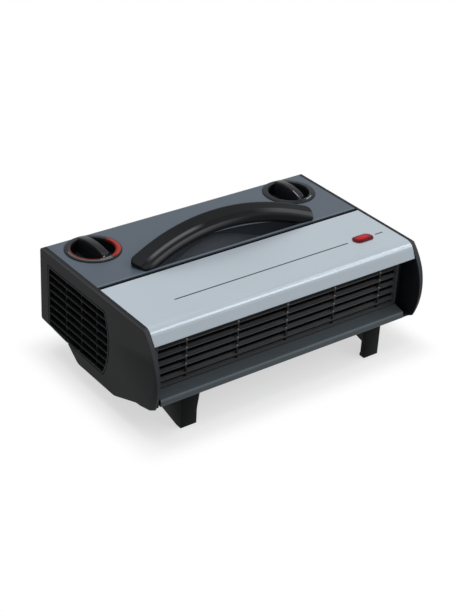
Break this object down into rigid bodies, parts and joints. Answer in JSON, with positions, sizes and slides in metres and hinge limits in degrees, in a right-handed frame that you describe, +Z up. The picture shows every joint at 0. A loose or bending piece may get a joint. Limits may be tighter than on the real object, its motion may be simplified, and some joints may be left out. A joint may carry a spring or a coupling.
{
  "type": "fan heater",
  "caption": "Low, wide fan heater with a front outlet grille, intake louvres in both ends, two recessed dials and an arched carrying handle.",
  "frame": {"origin": "centre of the footprint on the surface that the feet stand on", "axes": "+X along the width to the right as seen from the front, +Y to the rear, +Z up"},
  "size_m": [0.4, 0.252, 0.1787],
  "materials": {
    "cover_paint": "satin, dark blue-grey",
    "silver_paint": "satin, silver",
    "panel_black": "satin, black",
    "cap_plastic": "fine grain, charcoal",
    "grille_plastic": "black",
    "handle_plastic": "satin, charcoal",
    "dial_plastic": "satin, black",
    "knob_plastic": "semi-gloss, black",
    "lens_red": "clear red",
    "switch_body": "moulded, cream",
    "foot_plastic": "black",
    "lamination": "stacked sheet steel",
    "winding": "enamelled wire under tape",
    "zinc_steel": "zinc plated",
    "shaft_steel": "ground",
    "fan_plastic": "moulded, dark grey",
    "duct_steel": "galvanised sheet",
    "mica": "mica board",
    "element": "heat-tinted",
    "screw_steel": "zinc plated"
  },
  "bodies": {
    "housing": {"top_cover": "cover_paint", "front_panel": "silver_paint", "rear_panel": "panel_black", "base_pan": "panel_black", "left_end_cap": "cap_plastic", "right_end_cap": "cap_plastic", "lower_trim": "cover_paint", "outlet_grille": "grille_plastic", "handle": "handle_plastic", "handle_recess": "handle_plastic", "thermostat_dial_ring": "dial_plastic", "selector_dial_ring": "dial_plastic", "thermostat_body": "switch_body", "selector_switch_body": "switch_body", "indicator_lens": "lens_red", "indicator_body": "switch_body", "front_foot_left": "foot_plastic", "front_foot_right": "foot_plastic", "rear_foot_left": "foot_plastic", "rear_foot_right": "foot_plastic", "motor_stator": "lamination", "motor_coil": "winding", "motor_bracket_left": "zinc_steel", "motor_bracket_right": "zinc_steel", "motor_mount": "zinc_steel", "blower_housing_left": "fan_plastic", "blower_housing_right": "fan_plastic", "outlet_duct": "duct_steel", "element_frame": "mica", "heating_element_low": "element", "heating_element_high": "element", "thermal_cutout": "zinc_steel", "terminal_block": "switch_body", "cord_gland": "foot_plastic", "handle_screws": "screw_steel", "rear_screws": "screw_steel", "foot_screws": "screw_steel"},
    "fan_rotor": {"motor_rotor": "lamination", "fan_shaft": "shaft_steel", "impeller_left": "fan_plastic", "impeller_right": "fan_plastic"},
    "thermostat_control": {"thermostat_knob": "knob_plastic", "thermostat_spindle": "shaft_steel"},
    "selector_control": {"selector_knob": "knob_plastic", "selector_spindle": "shaft_steel"}
  },
  "joints": [
    {"name": "fan_spin", "type": "hinge", "parent": "housing", "child": "fan_rotor", "pos_m": [0, 0.006, 0.072], "axis": [1, 0, 0], "continuous": true},
    {"name": "thermostat_turn", "type": "hinge", "parent": "housing", "child": "thermostat_control", "pos_m": [-0.1495, 0.086, 0.145], "axis": [0, 0, -1], "range_deg": [0, 270]},
    {"name": "selector_turn", "type": "hinge", "parent": "housing", "child": "selector_control", "pos_m": [0.1495, 0.086, 0.145], "axis": [0, 0, -1], "range_deg": [0, 135]}
  ]
}
